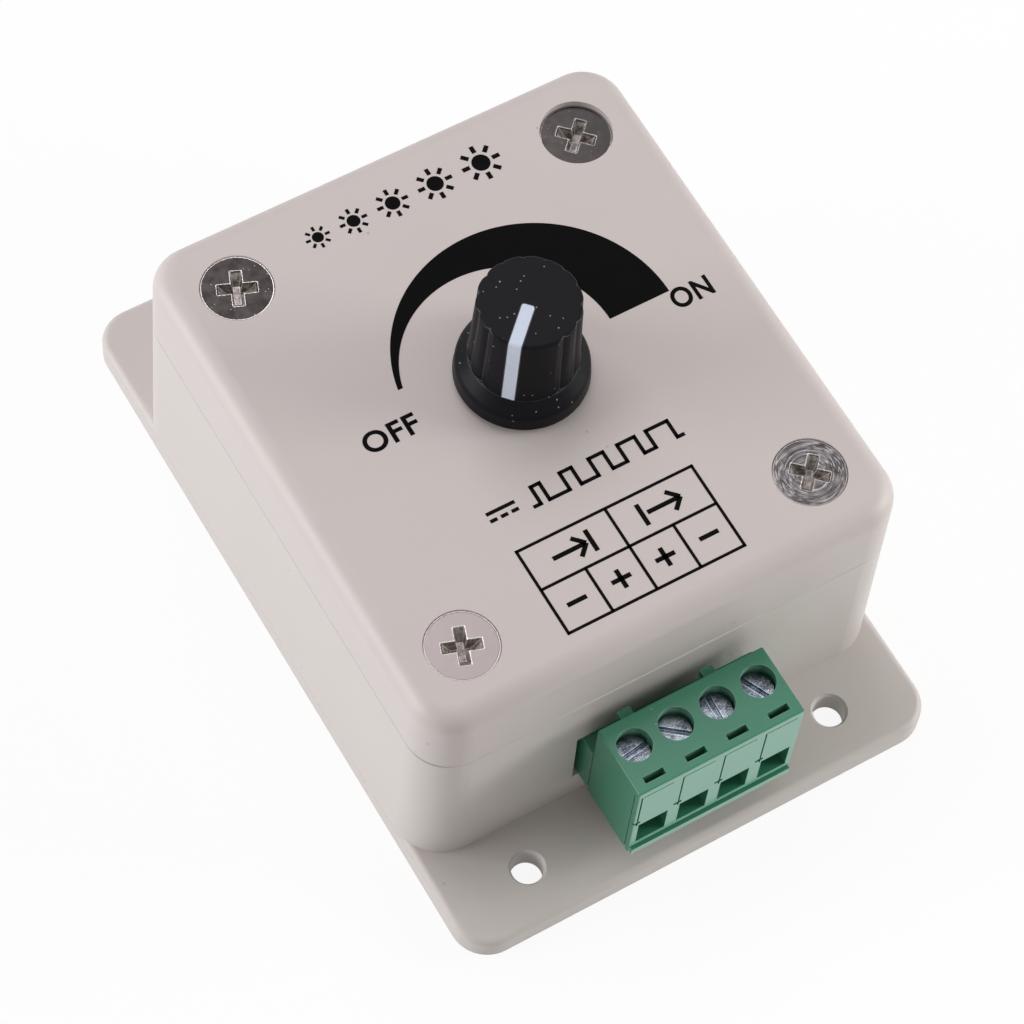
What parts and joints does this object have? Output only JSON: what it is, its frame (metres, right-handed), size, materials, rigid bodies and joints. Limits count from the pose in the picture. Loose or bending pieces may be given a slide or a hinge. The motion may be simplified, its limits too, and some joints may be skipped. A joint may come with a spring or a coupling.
{
  "type": "led dimmer",
  "caption": "Screwed-together plastic dimmer box with wall-fixing ears, a fluted rotary knob with a pointer and a pluggable screw-clamp terminal for the wires.",
  "frame": {"origin": "centre of the base's underside, on the wall or table that it is screwed to", "axes": "+Z out of the wall through the knob, -Y towards the terminal, +Y along the longer side, X along the terminal's row of poles"},
  "size_m": [0.0592, 0.0884, 0.0485],
  "materials": {
    "housing_plastic": "fine satin grain, moulded, warm light grey",
    "lid_screw_steel": "bright zinc plate, lightly scratched",
    "screw_steel": "bright zinc plate",
    "board_laminate": "green solder mask",
    "terminal_plastic": "green polyamide, satin",
    "plug_plastic": "green polyamide, satin",
    "tin_plate": "tin plate, dull",
    "pot_steel": "pressed steel, plated",
    "nickel_metal": "nickel plate",
    "wafer_board": "brown phenolic board",
    "wire_insulation": "PVC insulation",
    "chip_black": "moulded epoxy",
    "capacitor_sleeve": "shrunk sleeve",
    "resistor_coat": "beige lacquer",
    "knob_plastic": "satin black, fine grain",
    "pointer_plastic": "white inlay",
    "shaft_metal": "turned",
    "rotor_plastic": "natural nylon",
    "spring_brass": "spring sheet",
    "clamp_steel": "nickel plate"
  },
  "bodies": {
    "housing": {"base_shell": "housing_plastic", "lid": "housing_plastic", "lid_screws": "lid_screw_steel", "circuit_board": "board_laminate", "board_screws": "screw_steel", "terminal_header": "terminal_plastic", "header_pins": "tin_plate", "pot_can": "pot_steel", "pot_bushing": "nickel_metal", "pot_washer": "nickel_metal", "pot_nut": "nickel_metal", "pot_wafer": "wafer_board", "pot_lugs": "tin_plate", "pot_wires": "wire_insulation", "mosfet_body": "chip_black", "mosfet_tab": "tin_plate", "timer_chip": "chip_black", "chip_leads": "tin_plate", "capacitor": "capacitor_sleeve", "capacitor_leads": "tin_plate", "resistors": "resistor_coat", "resistor_leads": "tin_plate", "diode": "chip_black", "diode_leads": "tin_plate"},
    "knob": {"knob": "knob_plastic", "knob_pointer": "pointer_plastic", "pot_shaft": "shaft_metal", "pot_rotor": "rotor_plastic", "pot_wiper": "spring_brass"},
    "plug": {"terminal_plug": "plug_plastic", "plug_contacts": "tin_plate"},
    "terminal_screw_1": {"terminal_screw_1": "clamp_steel"},
    "clamp_cage_1": {"clamp_cage_1": "clamp_steel"},
    "terminal_screw_2": {"terminal_screw_2": "clamp_steel"},
    "clamp_cage_2": {"clamp_cage_2": "clamp_steel"},
    "terminal_screw_3": {"terminal_screw_3": "clamp_steel"},
    "clamp_cage_3": {"clamp_cage_3": "clamp_steel"},
    "terminal_screw_4": {"terminal_screw_4": "clamp_steel"},
    "clamp_cage_4": {"clamp_cage_4": "clamp_steel"}
  },
  "joints": [
    {"name": "knob_turn", "type": "hinge", "parent": "housing", "child": "knob", "pos_m": [0.0004, 0.0007, 0.0344], "axis": [0, 0, -1], "range_deg": [0, 270]},
    {"name": "plug_pull", "type": "slide", "parent": "housing", "child": "plug", "axis": [0, -1, 0], "range_m": [0, 0.012]},
    {"name": "clamp_screw_turn_1", "type": "hinge", "parent": "plug", "child": "terminal_screw_1", "pos_m": [-0.00762, -0.0378, 0.0207], "axis": [0, 0, -1], "range_deg": [0, 2160]},
    {"name": "cage_rise_1", "type": "slide", "parent": "plug", "child": "clamp_cage_1", "axis": [0, 0, 1], "range_m": [0, 0.003]},
    {"name": "clamp_screw_turn_2", "type": "hinge", "parent": "plug", "child": "terminal_screw_2", "pos_m": [-0.00254, -0.0378, 0.0207], "axis": [0, 0, -1], "range_deg": [0, 2160]},
    {"name": "cage_rise_2", "type": "slide", "parent": "plug", "child": "clamp_cage_2", "axis": [0, 0, 1], "range_m": [0, 0.003]},
    {"name": "clamp_screw_turn_3", "type": "hinge", "parent": "plug", "child": "terminal_screw_3", "pos_m": [0.00254, -0.0378, 0.0207], "axis": [0, 0, -1], "range_deg": [0, 2160]},
    {"name": "cage_rise_3", "type": "slide", "parent": "plug", "child": "clamp_cage_3", "axis": [0, 0, 1], "range_m": [0, 0.003]},
    {"name": "clamp_screw_turn_4", "type": "hinge", "parent": "plug", "child": "terminal_screw_4", "pos_m": [0.00762, -0.0378, 0.0207], "axis": [0, 0, -1], "range_deg": [0, 2160]},
    {"name": "cage_rise_4", "type": "slide", "parent": "plug", "child": "clamp_cage_4", "axis": [0, 0, 1], "range_m": [0, 0.003]}
  ],
  "couplings": [
    {"joint": "clamp_screw_turn_1", "follows": "cage_rise_1", "rad_per_m": 12566},
    {"joint": "clamp_screw_turn_2", "follows": "cage_rise_2", "rad_per_m": 12566},
    {"joint": "clamp_screw_turn_3", "follows": "cage_rise_3", "rad_per_m": 12566},
    {"joint": "clamp_screw_turn_4", "follows": "cage_rise_4", "rad_per_m": 12566}
  ]
}
